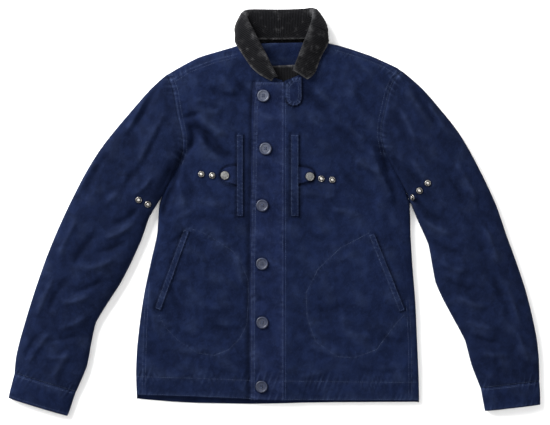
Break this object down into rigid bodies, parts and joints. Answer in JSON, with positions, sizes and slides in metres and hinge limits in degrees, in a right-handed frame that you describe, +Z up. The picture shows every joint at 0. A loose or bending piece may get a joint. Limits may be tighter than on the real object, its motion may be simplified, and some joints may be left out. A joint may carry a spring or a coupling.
{
  "type": "deck jacket, laid flat",
  "caption": "Short cotton twill deck jacket laid flat with its front up: buttoned placket, corduroy collar, welted pockets, press-stud tabs and buttonless cuffs.",
  "frame": {"origin": "middle of the jacket's box, on the surface it lies on", "axes": "+X to the wearer's left sleeve, +Y to the collar, +Z up from the surface"},
  "size_m": [0.982, 0.7528, 0.0326],
  "materials": {
    "twill": "washed navy cotton twill",
    "corduroy": "charcoal corduroy",
    "button": "dull navy, four holes",
    "stud_metal": "aged silver press studs"
  },
  "bodies": {
    "root": {"back": "twill", "front_right": "twill", "front_left": "twill", "placket": "twill", "sleeve_top_right": "twill", "sleeve_top_left": "twill", "sleeve_under_right": "twill", "sleeve_under_left": "twill", "cuff_right": "twill", "cuff_left": "twill", "chest_welt_right": "twill", "chest_welt_left": "twill", "hand_welt_right": "twill", "hand_welt_left": "twill", "chest_tab_right": "twill", "chest_tab_left": "twill", "throat_tab": "twill", "collar": "corduroy", "throat_guard": "corduroy", "snap_cap_right": "stud_metal", "snap_cap_left": "stud_metal", "chest_stud_right_1": "stud_metal", "chest_stud_right_2": "stud_metal", "chest_stud_left_1": "stud_metal", "chest_stud_left_2": "stud_metal", "sleeve_stud_right_1": "stud_metal", "sleeve_stud_right_2": "stud_metal", "sleeve_stud_left_1": "stud_metal", "sleeve_stud_left_2": "stud_metal", "sleeve_stud_left_3": "stud_metal", "button_1": "button", "button_2": "button", "button_3": "button", "button_4": "button", "button_5": "button", "button_6": "button"}
  },
  "joints": []
}
